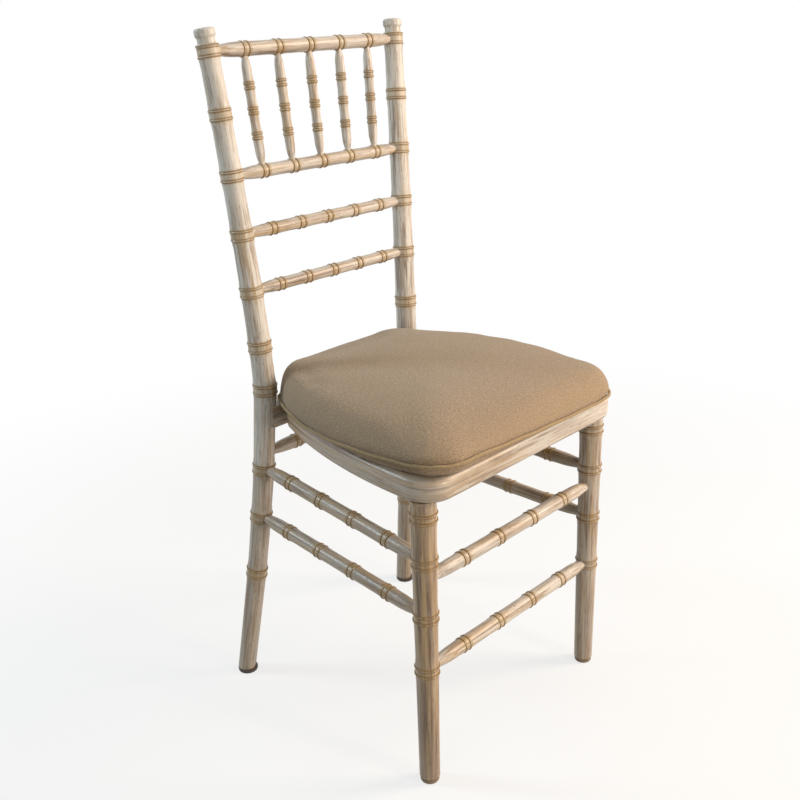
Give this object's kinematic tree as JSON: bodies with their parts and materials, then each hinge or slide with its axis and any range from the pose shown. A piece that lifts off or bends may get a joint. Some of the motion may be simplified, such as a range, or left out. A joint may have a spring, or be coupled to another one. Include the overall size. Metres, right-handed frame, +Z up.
{
  "type": "chiavari chair",
  "caption": "Chiavari chair of turned, limewashed wood with bamboo rings, a ladder and spindle back, a bent seat frame and a loose, piped fabric seat pad",
  "frame": {"origin": "on the floor under the middle of the chair", "axes": "+Z up, the front of the chair faces -Y, X is the width"},
  "size_m": [0.39, 0.4222, 0.9206],
  "materials": {
    "limewashed_wood": "satin",
    "plywood": "matte",
    "raw_wood": "matte",
    "steel": "satin",
    "glide_plastic": "matte",
    "pad_foam": "matte",
    "pad_fabric": "matte"
  },
  "bodies": {
    "frame": {"rear_post_left": "limewashed_wood", "rear_post_right": "limewashed_wood", "front_leg_left": "limewashed_wood", "front_leg_right": "limewashed_wood", "crest_rail": "limewashed_wood", "spindle_rail": "limewashed_wood", "ladder_rung_upper": "limewashed_wood", "ladder_rung_lower": "limewashed_wood", "spindle_1": "limewashed_wood", "spindle_2": "limewashed_wood", "spindle_3": "limewashed_wood", "spindle_4": "limewashed_wood", "spindle_5": "limewashed_wood", "side_stretcher_upper_left": "limewashed_wood", "side_stretcher_upper_right": "limewashed_wood", "side_stretcher_lower_left": "limewashed_wood", "side_stretcher_lower_right": "limewashed_wood", "front_stretcher_upper": "limewashed_wood", "front_stretcher_lower": "limewashed_wood", "rear_stretcher": "limewashed_wood", "seat_front_rail": "limewashed_wood", "seat_side_rail_left": "limewashed_wood", "seat_side_rail_right": "limewashed_wood", "seat_back_rail": "limewashed_wood", "seat_panel": "plywood", "corner_block_front_left": "raw_wood", "corner_block_front_right": "raw_wood", "corner_block_rear_left": "raw_wood", "corner_block_rear_right": "raw_wood", "rail_dowels": "raw_wood", "block_screws": "steel", "leg_screws": "steel", "panel_screws": "steel", "glide_nails": "steel", "glide_front_left": "glide_plastic", "glide_front_right": "glide_plastic", "glide_rear_left": "glide_plastic", "glide_rear_right": "glide_plastic"},
    "seat_pad": {"pad_foam": "pad_foam", "pad_cover": "pad_fabric", "pad_piping": "pad_fabric"}
  },
  "joints": [
    {"name": "pad_lift", "type": "slide", "parent": "frame", "child": "seat_pad", "axis": [0, -0.5, 0.866], "range_m": [0, 0.2]}
  ]
}
